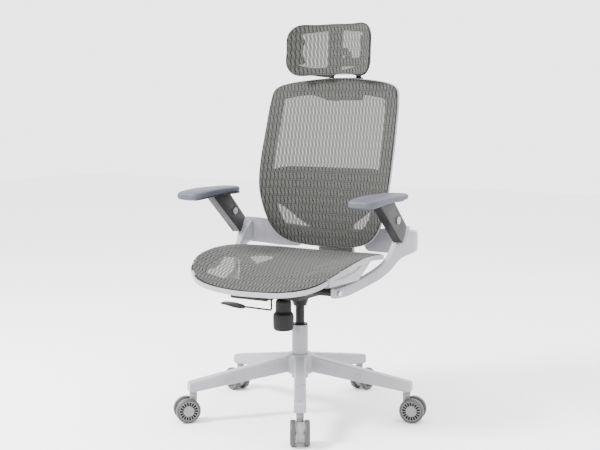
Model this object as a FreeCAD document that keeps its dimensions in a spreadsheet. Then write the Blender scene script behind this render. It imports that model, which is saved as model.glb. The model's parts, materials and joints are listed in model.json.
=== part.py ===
import FreeCAD, Part
import Sketcher
import math
import os

# Mesh-backed task chair on a five-star caster base. Millimetres, +Z up, the sitter faces -Y and the
# origin lies on the floor on the gas lift's axis. Heights are drawn from a datum 7 mm below the floor,
# and every sub-part is lowered by that much before it is written.

doc = FreeCAD.newDocument("task_chair")
Vector = FreeCAD.Vector
Rotation = FreeCAD.Rotation
Placement = FreeCAD.Placement

sizes = {
    "datum": 7,               # the drawing's datum lies this far below the floor
    "legAngle": -58.5,        # bearing of the first base leg from +X, degrees
    "legWidth": 36,
    "stemCircle": 340,        # radius on which the caster stems stand
    "socketRadius": 12,
    "socketBottom": 94,
    "stemRadius": 5.5,
    "hubRadius": 45,
    "columnRadius": 25,
    "columnTop": 285,
    "columnBottom": 118,
    "bushRadius": 22.95,
    "gasTubeRadius": 14,
    "rodRadius": 5,
    "wheelRadius": 37.5,
    "wheelWidth": 17,
    "wheelGap": 23,           # between the two wheels of a caster
    "trail": 20,              # caster axle behind its stem
    "tiltY": -118,            # tilt shaft's axis
    "tiltZ": 416,
    "tiltShaftHalf": 182,
    "knobY": -96,
    "leverY": -60,
    "leverPivotX": -48,       # barrel that the gas lever rocks on
    "leverPivotZ": 411.5,
    "tiltLeverY": -42,
    "armCentre": 295,         # armrest centre plane from the chair's middle
    "sleeveThick": 30,
    "flipY": 53,              # armrest hinge
    "flipZ": 621,
    "padWidth": 94,
    "spineHalf": 63,
    "headrestY": 207,
    "postSpacing": 50,        # headrest posts from the middle plane
    "postY": 280,
}

sheet = doc.addObject("Spreadsheet::Sheet", "Sizes")
for row, (alias, number) in enumerate(sizes.items(), 1):
    sheet.set("A%d" % row, alias)
    sheet.set("B%d" % row, str(number))
    sheet.setAlias("B%d" % row, alias)
doc.recompute()


def size(alias):
    return float(sheet.get(alias))


# ---- helpers -------------------------------------------------------------------------------------

def bind(obj, **expressions):
    for name, expression in expressions.items():
        obj.setExpression(name, expression)


def newBody(label):
    body = doc.addObject("PartDesign::Body", label)
    body.Label = label
    return body


def originFeature(body, role):
    return next(f for f in body.Origin.OriginFeatures if f.Role == role)


def newSketch(body, role, lift=0.0):
    sketch = body.newObject("Sketcher::SketchObject", body.Name + "_sketch")
    sketch.AttachmentSupport = [(originFeature(body, role), "")]
    sketch.MapMode = "FlatFace"
    sketch.AttachmentOffset = Placement(Vector(0, 0, lift), Rotation())
    return sketch


def holdPoint(sketch, line, axis, coordinate):
    """coordinate is a number or the name of a cell in the sheet, with a leading minus if negative"""
    named = isinstance(coordinate, str)
    sign = -1 if named and coordinate.startswith("-") else 1
    number = sign * size(coordinate.lstrip("-")) if named else coordinate
    if number == 0:
        across = -2 if axis == "DistanceX" else -1
        sketch.addConstraint(Sketcher.Constraint("PointOnObject", line, 1, across))
        return
    index = sketch.addConstraint(Sketcher.Constraint(axis, -1, 1, line, 1, number))
    if named:
        minus = "-" if sign < 0 else ""
        sketch.setExpression("Constraints[%d]" % index, "%sSizes.%s" % (minus, coordinate.lstrip("-")))


def polygon(sketch, points):
    """closed outline of straight lines through points, every corner held by two dimensions"""
    def number(value):
        if not isinstance(value, str):
            return value
        return -size(value[1:]) if value.startswith("-") else size(value)
    corners = [Vector(number(across), number(up), 0) for across, up in points]
    count = len(corners)
    first = sketch.GeometryCount
    sketch.addGeometry([Part.LineSegment(corners[i], corners[(i + 1) % count]) for i in range(count)], False)
    for i in range(count):
        following = first + (i + 1) % count
        sketch.addConstraint(Sketcher.Constraint("Coincident", first + i, 2, following, 1))
    for i, (across, up) in enumerate(points):
        holdPoint(sketch, first + i, "DistanceX", across)
        holdPoint(sketch, first + i, "DistanceY", up)


def circle(sketch, across, up, radius):
    """circle whose radius is a cell of the sheet or a number"""
    named = isinstance(radius, str)
    number = size(radius) if named else radius
    line = sketch.addGeometry(Part.Circle(Vector(across, up, 0), Vector(0, 0, 1), number), False)
    index = sketch.addConstraint(Sketcher.Constraint("Radius", line, number))
    if named:
        sketch.setExpression("Constraints[%d]" % index, "Sizes." + radius)
    return line


def turned(label, profile, at=Vector(), turn=Rotation()):
    """body of revolution about its own Z axis from a profile of (radius, height)"""
    body = newBody(label)
    sketch = newSketch(body, "XZ_Plane")
    polygon(sketch, profile)
    spin = body.newObject("PartDesign::Revolution", label + "_turned")
    spin.Profile = sketch
    spin.ReferenceAxis = (sketch, ["V_Axis"])
    spin.Angle = 360
    body.Placement = Placement(at, turn)
    doc.recompute()
    return body


def plate(label, outline, thickness, role="YZ_Plane", at=Vector(), turn=Rotation()):
    """flat body from an outline, padded to both sides of its plane"""
    body = newBody(label)
    sketch = newSketch(body, role)
    polygon(sketch, outline)
    pad = body.newObject("PartDesign::Pad", label + "_pad")
    pad.Profile = sketch
    pad.Midplane = True
    if isinstance(thickness, str):
        pad.setExpression("Length", thickness)
    else:
        pad.Length = thickness
    body.Placement = Placement(at, turn)
    doc.recompute()
    return body


def shaped(label, shape):
    """sub-part whose free-form shape comes from the functions below"""
    feature = doc.addObject("Part::Feature", label)
    feature.Label = label
    feature.Shape = shape
    return feature


def joined(first, *others):
    return first.fuse(list(others)).removeSplitter()


def splineFace(points, plane):
    """face inside a smooth closed curve; plane places a pair of coordinates in space"""
    curve = Part.BSplineCurve()
    curve.interpolate([plane(*point) for point in points], PeriodicFlag=True)
    return Part.Wire([curve.toShape()])


def mirroredOutline(half):
    """whole outline from its right half, which starts and ends on the middle plane"""
    return half + [(-across, up) for across, up in reversed(half[1:-1])]


def inset(points, depth):
    """points moved inwards; depth(across, up) says how far"""
    count = len(points)
    moved = []
    for i, (across, up) in enumerate(points):
        before = points[i - 1]
        after = points[(i + 1) % count]
        run = (after[0] - before[0], after[1] - before[1])
        length = math.hypot(*run)
        reach = depth(across, up)
        moved.append((across - run[1] / length * reach, up + run[0] / length * reach))
    return moved


def ringPrism(outer, inner, plane, direction):
    wires = [splineFace(outer, plane)]
    if inner:
        wires.append(splineFace(inner, plane))
    face = Part.makeFace(wires, "Part::FaceMakerBullseye")
    return face.extrude(direction)


def loftBox(stations, ruled=False):
    """solid through rounded rectangles; a station is a centre, two half axes and a corner radius"""
    wires = []
    for centre, across, up, corner in stations:
        wires.append(roundedWire(centre, across, up, corner))
    return Part.makeLoft(wires, True, ruled)


def roundedWire(centre, across, up, corner):
    """rectangle with quarter-circle corners, spanned by two half axes"""
    u = Vector(across).normalize()
    v = Vector(up).normalize()
    a = across.Length
    b = up.Length
    c = corner
    place = lambda x, y: centre + u * x + v * y
    slant = c * (1 - math.sqrt(0.5))
    edges = []
    for sx, sy in ((1, 1), (-1, 1), (-1, -1), (1, -1)):
        start, end = ((sx * a, sy * (b - c)), (sx * (a - c), sy * b))
        if sx * sy < 0:
            start, end = end, start
        middle = (sx * (a - slant), sy * (b - slant))
        edges.append(Part.Arc(place(*start), place(*middle), place(*end)).toShape())
    lines = []
    for i in range(4):
        tail = edges[i].Vertexes[-1].Point
        head = edges[(i + 1) % 4].Vertexes[0].Point
        lines.append(edges[i])
        lines.append(Part.LineSegment(tail, head).toShape())
    return Part.Wire(Part.__sortEdges__(lines))


def rod(points, radius):
    """round bar through points, with a ball at every bend"""
    pieces = []
    for tail, head in zip(points, points[1:]):
        pieces.append(Part.makeCylinder(radius, (head - tail).Length, tail, head - tail))
    for bend in points[1:-1]:
        pieces.append(Part.makeSphere(radius, bend))
    return joined(pieces[0], *pieces[1:]) if len(pieces) > 1 else pieces[0]


# ---- the curved surfaces that the meshes are stretched over ---------------------------------------

backStations = [        # height, depth of the middle line, curvature across
    (480, 160, 0.00042), (560, 158, 0.00060), (620, 161, 0.00072), (700, 170, 0.00080),
    (780, 182, 0.00072), (860, 196, 0.00058), (940, 209, 0.00044), (1010, 220, 0.00032),
    (1075, 229, 0.00025),
]
seatStations = [        # depth, height of the middle line, height at the side rims
    (-320, 424, 430), (-285, 440, 453), (-250, 453, 476), (-205, 468, 500), (-150, 480, 515),
    (-90, 488, 524), (-20, 492, 527), (50, 494, 523), (110, 498, 515), (170, 506, 511),
]
headStations = [        # height, depth of the middle line
    (1040, -4), (1100, -1), (1160, 3), (1230, 6),
]
backHalf = [(0, 509), (85, 512), (150, 528), (193, 565), (220, 625), (237, 700), (241, 790),
            (238, 900), (234, 970), (222, 1015), (175, 1034), (85, 1045), (0, 1049)]
seatHalf = [(0, -303), (90, -299), (170, -283), (228, -250), (258, -195), (266, -120), (262, -30),
            (254, 50), (232, 112), (180, 144), (90, 152), (0, 153)]
headHalf = [(0, 1056), (80, 1056), (128, 1059), (147, 1080), (151, 1135), (147, 1190), (126, 1213),
            (80, 1218), (0, 1219)]
seatHalfWidth = 262.0
backReach = 275.0
headReach = 160.0
headWingDrop = 45.0 / 150 ** 2


def across(point):
    return Vector(point[0], 0, point[1])


def backSlab(near, far):
    """curved slab between two depths behind the back mesh's plane"""
    wires = []
    for height, middle, bend in backStations:
        edge = middle - bend * backReach ** 2
        ends = []
        for depth in (near, far):
            arc = Part.Arc(Vector(-backReach, edge + depth, height), Vector(0, middle + depth, height),
                           Vector(backReach, edge + depth, height))
            ends.append(arc.toShape())
        wires.append(slabWire(*ends))
    return Part.makeLoft(wires, True, False)


def seatSlab(near, far):
    """curved slab between two heights below the seat mesh's plane"""
    wires = []
    for depth, middle, edge in seatStations:
        ends = []
        for drop in (near, far):
            arc = Part.Arc(Vector(-seatHalfWidth - 20, depth, edge - drop), Vector(0, depth, middle - drop),
                           Vector(seatHalfWidth + 20, depth, edge - drop))
            ends.append(arc.toShape())
        wires.append(slabWire(*ends))
    return Part.makeLoft(wires, True, False)


def headSlab(near, far):
    """curved slab between two depths behind the headrest mesh's plane"""
    wires = []
    for height, lean in headStations:
        middle = size("headrestY") + lean
        edge = middle - headWingDrop * headReach ** 2
        ends = []
        for depth in (near, far):
            arc = Part.Arc(Vector(-headReach, edge + depth, height), Vector(0, middle + depth, height),
                           Vector(headReach, edge + depth, height))
            ends.append(arc.toShape())
        wires.append(slabWire(*ends))
    return Part.makeLoft(wires, True, False)


def slabWire(front, rear):
    left = Part.LineSegment(front.Vertexes[0].Point, rear.Vertexes[0].Point).toShape()
    right = Part.LineSegment(front.Vertexes[-1].Point, rear.Vertexes[-1].Point).toShape()
    return Part.Wire(Part.__sortEdges__([front, right, rear, left]))


def uprightPlane(x, z):
    return Vector(x, 0, z)


def levelPlane(x, y):
    return Vector(x, y, 380)


def backPiece(outer, inner, near, far):
    prism = ringPrism(outer, inner, uprightPlane, Vector(0, 400, 0))
    return backSlab(near, far).common(prism)


def seatPiece(outer, inner, near, far):
    prism = ringPrism(outer, inner, levelPlane, Vector(0, 0, 200))
    return seatSlab(near, far).common(prism)


def headPiece(outer, inner, near, far):
    prism = ringPrism(outer, inner, uprightPlane, Vector(0, 400, 0))
    return headSlab(near, far).common(prism)


# ---- base and gas lift ---------------------------------------------------------------------------

def buildStarBase():
    body = newBody("star_base")
    hub = newSketch(body, "XZ_Plane")
    polygon(hub, [("columnRadius", 132), (38, 132), ("hubRadius", 142), ("hubRadius", 186), (38, 196),
                  ("columnRadius", 196)])
    turning = body.newObject("PartDesign::Revolution", "hub")
    turning.Profile = hub
    turning.ReferenceAxis = (hub, ["V_Axis"])
    turning.Angle = 360
    side = newSketch(body, "XZ_Plane")
    polygon(side, [(38, 140), (38, 191), (343, 131), (351, 126), (355, 117), (355, 101), ("stemCircle", 99)])
    leg = body.newObject("PartDesign::Pad", "leg")
    leg.Profile = side
    leg.Midplane = True
    bind(leg, Length="Sizes.legWidth")
    foot = newSketch(body, "XY_Plane", size("socketBottom"))
    circle(foot, size("stemCircle"), 0, "socketRadius")
    socket = body.newObject("PartDesign::Pad", "socket")
    socket.Profile = foot
    socket.Length = 22
    bore = newSketch(body, "XY_Plane", size("socketBottom"))
    circle(bore, size("stemCircle"), 0, "stemRadius")
    hole = body.newObject("PartDesign::Pocket", "stem_hole")
    hole.Profile = bore
    hole.Length = 28
    hole.Reversed = True
    star = body.newObject("PartDesign::PolarPattern", "five_legs")
    star.Originals = [leg, socket, hole]
    star.Axis = (originFeature(body, "Z_Axis"), [""])
    star.Angle = 360
    star.Occurrences = 5
    body.Tip = star
    body.Placement = Placement(Vector(), Rotation(Vector(0, 0, 1), size("legAngle")))
    doc.recompute()
    return body


def stemPlaces():
    for i in range(5):
        angle = math.radians(size("legAngle") + 72 * i)
        yield Vector(math.cos(angle), math.sin(angle), 0) * size("stemCircle")


def buildGasLift():
    column = "columnRadius"
    foot = "columnBottom"
    return [
        turned("outer_gas_tube", [(5.1, foot), (column, foot), (column, "columnTop"), (23, "columnTop"),
                                  (23, 122), (5.1, 122)]),
        turned("guide_bushing", [(14.05, 205), ("bushRadius", 205), ("bushRadius", "columnTop"),
                                 (24.5, "columnTop"), (24.5, 288), (23.5, 289), (14.05, 289)]),
        turned("thrust_bearing", [(5.2, 122), (13, 122), (13, 129), (5.2, 129)]),
        turned("piston_rod", [(0, 112), ("rodRadius", 112), ("rodRadius", 250), (12.4, 250), (12.4, 262),
                              (0, 262)]),
        turned("retaining_clip", [("rodRadius", 114.5), (9, 114.5), (9, 117.6), ("rodRadius", 117.6)]),
        turned("pressure_tube", [(5.05, 185), ("gasTubeRadius", 185), ("gasTubeRadius", 404), (3.1, 404),
                                 (3.1, 386), (12.5, 386), (12.5, 190), (5.05, 190)]),
        turned("release_pin", [(0, 392), (3, 392), (3, 408), (0, 408)]),
    ]


def buildStems():
    stems = []
    for place in stemPlaces():
        shank = Part.makeCylinder(size("stemRadius"), 38, place + Vector(0, 0, 82))
        tip = Part.makeCone(size("stemRadius"), 4, 2, place + Vector(0, 0, 120))
        stems.append(joined(shank, tip))
    return shaped("caster_stems", Part.makeCompound(stems))


# ---- casters -------------------------------------------------------------------------------------

def buildCaster(number, stem):
    """caster that trails outwards in line with its leg"""
    turn = Rotation(Vector(0, 0, 1), size("legAngle") + 72 * (number - 1))
    axle = stem + turn.multVec(Vector(size("trail"), 0, 0))
    sideways = turn.multVec(Vector(0, 1, 0))
    radius = size("wheelRadius")
    gap = size("wheelGap")
    width = size("wheelWidth")
    centre = axle + Vector(0, 0, radius + size("datum"))

    collar = Part.makeCylinder(11.5, 10, stem + Vector(0, 0, 83.6))
    neck = Part.makeCylinder(11.1, 48, stem + Vector(0, 0, 38))
    bearingRing = Part.makeCylinder(size("stemRadius") + 0.05, 40, stem + Vector(0, 0, 60))
    cheek = Part.makeCylinder(30, gap - 1.2, centre - sideways * (gap / 2 - 0.6), sideways)
    hood = joined(cheek, neck, collar).cut(bearingRing)
    hood = hood.cut(Part.makeCylinder(4, gap + 10, centre - sideways * (gap / 2 + 5), sideways))
    shaped("caster_housing_%d" % number, hood)

    pin = Part.makeCylinder(4, gap + 2 * width - 6, centre - sideways * (gap / 2 + width - 3), sideways)
    shaped("caster_axle_%d" % number, pin)

    for side, name in ((1, "left"), (-1, "right")):
        profile = [(4.05, 0), (30, 0), (34, 0), ("wheelRadius", 3), ("wheelRadius", 13),
                   (34.5, "wheelWidth"), (31, 14), (12, 13), (10, "wheelWidth"), (4.05, "wheelWidth")]
        outward = sideways * side
        start = centre + outward * (gap / 2)
        turned("caster_wheel_%d_%s" % (number, name), profile, start, Rotation(Vector(0, 0, 1), outward))


# ---- mechanism under the seat --------------------------------------------------------------------

def buildMechanism():
    floor = 378
    outer = Part.makeBox(120, 183, 52, Vector(-60, -108, floor))
    inner = Part.makeBox(112, 175, 60, Vector(-56, -104, floor + 4))
    hub = Part.makeCone(20, 33, 37, Vector(0, 0, 345)).fuse(Part.makeCylinder(20, 26, Vector(0, 0, 378)))
    shaft = Part.makeCylinder(11, 2 * size("tiltShaftHalf"),
                              Vector(-size("tiltShaftHalf"), size("tiltY"), size("tiltZ")), Vector(1, 0, 0))
    web = Part.makeBox(120, 14, 20, Vector(-60, -118, 406))
    lugs = []
    for low in (-74, -50):
        lugs.append(Part.makeBox(14.5, 4, 38, Vector(-56.5, size("leverY") + 60 + low, floor + 2)))
    housing = joined(outer.cut(inner), hub, shaft, web, *lugs)
    barrelHole = Vector(size("leverPivotX"), size("leverY") - 20, size("leverPivotZ"))
    housing = housing.cut(Part.makeCylinder(5.05, 40, barrelHole, Vector(0, 1, 0)))
    housing = housing.cut(Part.makeCylinder(10.95, 50, Vector(0, size("knobY"), floor + 4)))
    housing = housing.cut(Part.makeCylinder(14, 60, Vector(0, 0, 345)))
    housing = housing.cut(Part.makeCylinder(5.3, 20, Vector(0, size("knobY"), floor - 5)))
    housing = housing.cut(Part.makeBox(10, 10, 40, Vector(-64, size("leverY") - 5, 402)))
    housing = housing.cut(Part.makeCylinder(3.2, 20, Vector(-70, size("tiltLeverY"), 390), Vector(1, 0, 0)))
    for side in (-1, 1):
        start = Vector(side * (size("tiltShaftHalf") - 22), size("tiltY"), size("tiltZ"))
        housing = housing.cut(Part.makeCylinder(5, 30, start, Vector(side, 0, 0)))
    shaped("mechanism_housing", housing)


def buildTiltPins():
    pins = []
    for side in (-1, 1):
        start = Vector(side * (size("tiltShaftHalf") - 21), size("tiltY"), size("tiltZ"))
        shank = Part.makeCylinder(5, 49, start, Vector(side, 0, 0))
        head = Part.makeCylinder(8, 3, start + Vector(side * 47, 0, 0), Vector(side, 0, 0))
        pins.append(joined(shank, head))
    shaped("tilt_pins", Part.makeCompound(pins))


def buildTensionGroup():
    at = Vector(0, size("knobY"), 0)
    turned("tension_knob", [(5, 286), (18, 282), (29, 284), (32, 292), (32.5, 330), (29, 334), (24, 336),
                            (24, 372), (21, 377), (5, 377)], at)
    turned("tension_screw", [(0, 290), ("rodRadius", 290), ("rodRadius", 424), (0, 424)], at)
    helix = Part.makeHelix(5.6, 33, 9)
    wire = Part.Wire([Part.makeCircle(1.6, Vector(9, 0, 0), Vector(0, 1, 0))])
    spring = Part.Wire(helix.Edges).makePipeShell([wire], True, True)
    spring.translate(Vector(0, size("knobY"), 385))
    shaped("tension_spring", spring)


def buildLevers():
    y = size("leverY")
    inner = [Vector(0, 0, 411.5), Vector(-22, y + 20, 411.5), Vector(-40, y, 411.5), Vector(-67, y, 411.5),
             Vector(-67, y, 332), Vector(-190, y, 334)]
    barrelEnd = Vector(size("leverPivotX"), y - 14, size("leverPivotZ"))
    barrel = Part.makeCylinder(5, 28, barrelEnd, Vector(0, 1, 0))
    shaped("gas_lever_rod", joined(rod(inner, 3), barrel))
    paddle = loftBox([
        (Vector(-168, y, 333), Vector(0, 5, 0), Vector(0, 0, 5), 3),
        (Vector(-185, y, 334), Vector(0, 9, 0), Vector(0, 0, 7), 4),
        (Vector(-215, y, 337), Vector(0, 13, 0), Vector(0, 0, 6), 4),
        (Vector(-250, y, 339), Vector(0, 12, 0), Vector(0, 0, 3), 2),
    ])
    sleeve = Part.makeCylinder(3, 60, Vector(-190, y, 334), Vector(123, 0, -2))
    shaped("gas_lever_paddle", paddle.cut(sleeve))

    t = size("tiltLeverY")
    wire = [Vector(-34, t, 390), Vector(-65, t, 390), Vector(-73, t, 361), Vector(-120, t, 361)]
    shaped("tilt_lock_rod", rod(wire, 3))
    turned("tilt_lock_grip", [(0, 40), (3, 40), (3, 0), (6.5, 0), (7.5, 3), (7.5, 134), (6, 137), (0, 137)],
           Vector(-93, t, 361), Rotation(Vector(0, 0, 1), Vector(-1, 0, 0)))


# ---- seat ----------------------------------------------------------------------------------------

def seatInset(x, y):
    """the rim is narrow along the sides and wide at the front and rear"""
    side = min(1.0, abs(x) / 240.0) ** 3
    return 48 - 20 * side


def sidePanel(side):
    inner = Vector(side * 249, 0, 0)
    outline = [(-236, 452), (-93, 456), (-17, 504), (22, 508), (22, 520), (-30, 521), (-110, 516),
               (-170, 507), (-215, 492), (-240, 478)]
    wire = Part.makePolygon([inner + Vector(0, y, z) for y, z in outline + outline[:1]])
    panel = Part.Face(wire).extrude(Vector(side * 8, 0, 0))
    recess = [(-232, 470), (-170, 473), (-110, 484), (-60, 506), (-110, 506), (-190, 490)]
    wire = Part.makePolygon([Vector(side * 255, y, z) for y, z in recess + recess[:1]])
    return panel.cut(Part.Face(wire).extrude(Vector(side * 10, 0, 0))).common(seatSlab(3.4, 150))


seatWindows = [
    [(72, -226), (118, -244), (172, -248), (204, -205), (218, -95), (184, -64), (118, -156)],
    [(96, -96), (172, -30), (155, 28), (122, 50), (98, -10)],
]


def windowPrisms():
    prisms = []
    for window in seatWindows:
        for side in (-1, 1):
            corners = [Vector(side * x, y, 400) for x, y in window]
            prisms.append(Part.Face(Part.makePolygon(corners + corners[:1])).extrude(Vector(0, 0, 150)))
    return prisms


def buildSeat():
    outline = mirroredOutline(seatHalf)
    mesh = seatPiece(inset(outline, lambda x, y: 4), None, 0.6, 3)
    shaped("seat_mesh", mesh)
    rim = seatPiece(outline, inset(outline, seatInset), 3.4, 18)
    pan = seatPiece(inset(outline, lambda x, y: 20), None, 12, 18).cut(windowPrisms())
    tray = Part.makeBox(180, 408, 10, Vector(-90, -284, 436)).common(seatSlab(3.4, 150))
    rearWeb = Part.makeBox(180, 14, 60, Vector(-90, 110, 436)).common(seatSlab(10, 150))
    frame = joined(rim, pan, tray, rearWeb, sidePanel(1), sidePanel(-1))
    holes = [Part.makeCylinder(4.2, 20, place + Vector(0, 0, 430)) for place in seatBoltPlaces()]
    shaped("seat_frame", frame.cut(holes))


def buildSeatPlate():
    sheetMetal = Part.makeBox(150, 189, 5.4, Vector(-75, -111.5, 430.3))
    holes = [Part.makeCylinder(4, 10, place + Vector(0, 0, 427)) for place in seatBoltPlaces()]
    shaped("seat_plate", sheetMetal.cut(holes))


def seatBoltPlaces():
    return [Vector(x, y, 0) for x in (-66, 66) for y in (-90, 60)]


# ---- back ----------------------------------------------------------------------------------------

def railStations():
    """rail, elbow and armrest root: depth, across, height, half width, half height"""
    return [
        (-132, 195, 416, 9, 14), (-118, 196, 416, 9, 15), (-60, 211, 423, 9, 17), (-18, 228, 437, 9, 17),
        (25, 258, 462, 9, 19), (62, 276, 491, 10, 22), (100, 284, 528, 15, 31), (140, 296, 546, 20, 37),
        (172, 298, 548, 19, 33), (188, 297, 548, 14, 22),
    ]


wingPlan = [(300, 146), (270, 170), (235, 187), (190, 198), (130, 208), (60, 213), (0, 213.5)]
wingTop = [(300, 594), (255, 589), (190, 577), (120, 568), (0, 566)]
wingBottom = [(0, 541), (100, 537), (112, 528), (120, 507), (132, 500), (200, 501), (300, 513)]


def bothSides(half):
    """points of a half curve, from the far right to the far left"""
    return half + [(-x, other) for x, other in reversed(half) if x != 0]


def wingBand():
    """band behind the back: its plan curve raised, and trimmed to its outline seen from behind"""
    edges = []
    for depth in (-6, 6):
        curve = Part.BSplineCurve()
        curve.interpolate([Vector(x, y + depth, 460) for x, y in bothSides(wingPlan)])
        edges.append(curve.toShape())
    raised = Part.Face(slabWire(*edges)).extrude(Vector(0, 0, 170))
    top = bothSides(wingTop)
    bottom = [(-x, z) for x, z in reversed(wingBottom) if x != 0]
    outline = top + bottom + wingBottom
    wire = Part.makePolygon([Vector(x, 0, z) for x, z in outline + outline[:1]])
    return raised.common(Part.Face(wire).extrude(Vector(0, 400, 0)))


def buildCarrier():
    rails = []
    for side in (1, -1):
        stations = []
        for y, x, z, wide, tall in railStations():
            corner = min(wide, tall) * 0.55
            stations.append((Vector(side * x, y, z), Vector(wide, 0, 0), Vector(0, 0, tall), corner))
        rail = loftBox(stations)
        eyeEnd = Vector(side * 170, size("tiltY"), size("tiltZ"))
        eye = Part.makeCylinder(5.05, 60, eyeEnd, Vector(side, 0, 0))
        arm = armPost(side)
        rails.append(joined(rail, arm).cut(eye))
    shaped("back_carrier", joined(wingBand(), *rails).cut(backBoltHoles()))


def armPost(side):
    """tongue that leans forward from the elbow into the armrest sleeve"""
    x = side * size("armCentre")
    thick = loftBox([
        (Vector(x, 160, 545), Vector(17, 0, 0), Vector(0, 17, 22), 9),
        (Vector(x, 134, 561), Vector(16, 0, 0), Vector(0, 16, 21), 9),
        (Vector(x, 119, 572), Vector(15, 0, 0), Vector(0, 12, 16), 7),
        (Vector(x, 116, 574), Vector(9.8, 0, 0), Vector(0, 12, 16), 4),
        (Vector(x, 84, 597), Vector(9.5, 0, 0), Vector(0, 12, 14), 3),
        (Vector(x, 53, 621), Vector(9.5, 0, 0), Vector(0, 12, 14), 3),
        (Vector(x, 45, 627), Vector(9.5, 0, 0), Vector(0, 11, 13), 3),
    ], True)
    hole = Part.makeCylinder(5, 60, Vector(x - 30, size("flipY"), size("flipZ")), Vector(1, 0, 0))
    return thick.cut(hole)


backBoltX = (-40, 40)
bandBoltZ = 553           # through the band behind the back
lumbarBoltZ = 680         # through the bosses into the lumbar panel


def backBoltPlaces():
    """across, depth of the tip and height of each bolt"""
    return [(x, tip, z) for x in backBoltX for z, tip in ((bandBoltZ, 206), (lumbarBoltZ, 184))]


def backBoltHoles():
    return [Part.makeCylinder(4, 70, Vector(x, 175, z), Vector(0, 1, 0)) for x, tip, z in backBoltPlaces()]


def buildYoke():
    """two bars beside the mechanism, a cross piece and the upright spine plate"""
    y = size("tiltY")
    z = size("tiltZ")
    parts = []
    for side in (-1, 1):
        low = 84 if side > 0 else -96
        bar = Part.makeBox(12, 225, 22, Vector(low, y, z - 11))
        eye = Part.makeCylinder(17, 12, Vector(low, y, z), Vector(1, 0, 0))
        shaftHole = Part.makeCylinder(11.06, 14, Vector(low - 1, y, z), Vector(1, 0, 0))
        parts.append(joined(bar, eye).cut(shaftHole))
    cross = Part.makeBox(192, 26, 22, Vector(-96, 86, z - 11))
    half = size("spineHalf")
    side = [(100, 405), (176, 405), (220, 446), (220, 700), (236, 700), (236, 440), (184, 387), (100, 387)]
    bend = Part.makePolygon([Vector(0, depth, height) for depth, height in side + side[:1]])
    spine = Part.Face(bend).extrude(Vector(2 * half, 0, 0)).translated(Vector(-half, 0, 0))
    lowered = cross.fuse(Part.makeBox(2 * half, 26, 30, Vector(-half, 86, 387)))
    bosses = [Part.makeCylinder(9, 30, Vector(x, 191, lumbarBoltZ), Vector(0, 1, 0)) for x in backBoltX]
    yoke = joined(parts[0], parts[1], lowered, spine, *bosses)
    shaped("back_yoke", yoke.cut(backBoltHoles()))


def buildBack():
    outline = mirroredOutline(backHalf)
    shaped("back_mesh", backPiece(inset(outline, lambda x, z: 3), None, -2.8, -0.6))
    shaped("mesh_carrier", backPiece(inset(outline, lambda x, z: 2), inset(outline, carrierInset), -0.2, 4))
    shaped("back_frame", backPiece(outline, inset(outline, lambda x, z: carrierInset(x, z) - 4), 4.2, 17))
    lumbar = backPiece(mirroredOutline(lumbarHalf), None, 17.3, 23)
    shaped("lumbar_panel", lumbar.cut(backBoltHoles()))


lumbarHalf = [(0, 562), (60, 570), (120, 604), (175, 640), (212, 662), (216, 715), (208, 748), (180, 760),
              (90, 763), (0, 763)]


def carrierInset(x, z):
    """frame width: wide along the sides, deeper where the headrest bracket sits"""
    if z > 1000:
        return 62 + 12 * math.cos(min(math.pi, abs(x) / 110.0 * math.pi))
    return 48


def buildBackBolts():
    bolts = []
    for x, tip, z in backBoltPlaces():
        shank = Part.makeCylinder(4, 238 - tip, Vector(x, tip, z), Vector(0, 1, 0))
        head = Part.makeCylinder(7, 4, Vector(x, 236.3, z), Vector(0, 1, 0))
        bolts.append(joined(shank, head))
    shaped("back_bolts", Part.makeCompound(bolts))


# ---- headrest ------------------------------------------------------------------------------------

def buildHeadrest():
    outline = mirroredOutline(headHalf)
    shaped("headrest_mesh", headPiece(inset(outline, lambda x, z: 2), None, -2.8, -0.6))
    ring = headPiece(outline, inset(outline, lambda x, z: 22 + 20 * (abs(x) / 150.0) ** 3), -0.2, 10)
    band = headSlab(6, 14).common(Part.makeBox(52, 100, 150, Vector(-26, 180, 1062)))
    knuckle = Part.makeBox(30, 34, 24, Vector(-15, 217, 1120))
    eye = Part.makeCylinder(12, 30, Vector(-15, 252, 1132), Vector(1, 0, 0))
    frame = joined(ring, band, knuckle, eye)
    shaped("headrest_frame", frame.cut(Part.makeCylinder(4.05, 60, Vector(-30, 252, 1132), Vector(1, 0, 0))))


def buildHeadrestStem():
    spacing = size("postSpacing")
    y = size("postY")
    posts = []
    for side in (-1, 1):
        posts.append(loftBox([(Vector(side * spacing, y, z), Vector(9, 0, 0), Vector(0, 4, 0), 2.5)
                              for z in (977, 1090)], True))
    cross = loftBox([(Vector(x, y, 1100), Vector(0, 5, 0), Vector(0, 0, 14), 4) for x in (-59, 59)], True)
    arms = []
    for side in (-1, 1):
        low = 15.3 if side > 0 else -23.3
        arm = Part.makeBox(8, 34, 24, Vector(low, 250, 1110))
        arm = arm.fuse(Part.makeCylinder(12, 8, Vector(low, 252, 1132), Vector(1, 0, 0)))
        arms.append(arm.cut(Part.makeCylinder(4, 10, Vector(low - 1, 252, 1132), Vector(1, 0, 0))))
    pin = Part.makeCylinder(4, 50, Vector(-25, 252, 1132), Vector(1, 0, 0))
    shaped("headrest_stem", joined(posts[0], posts[1], cross, pin, *arms))


def buildHeadrestGuide():
    y = size("postY")
    block = loftBox([(Vector(0, y - 4, z), Vector(66, 0, 0), Vector(0, 12, 0), 8) for z in (977, 1050)], True)
    slots = [Part.makeBox(18.6, 8.6, 100, Vector(side * size("postSpacing") - 9.3, y - 4.3, 965))
             for side in (-1, 1)]
    neck = Part.makeBox(90, 36, 40, Vector(-45, 236, 985)).cut(backSlab(-30, 17.2))
    shaped("headrest_guide", block.fuse(neck).cut(slots))


# ---- armrests ------------------------------------------------------------------------------------

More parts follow.
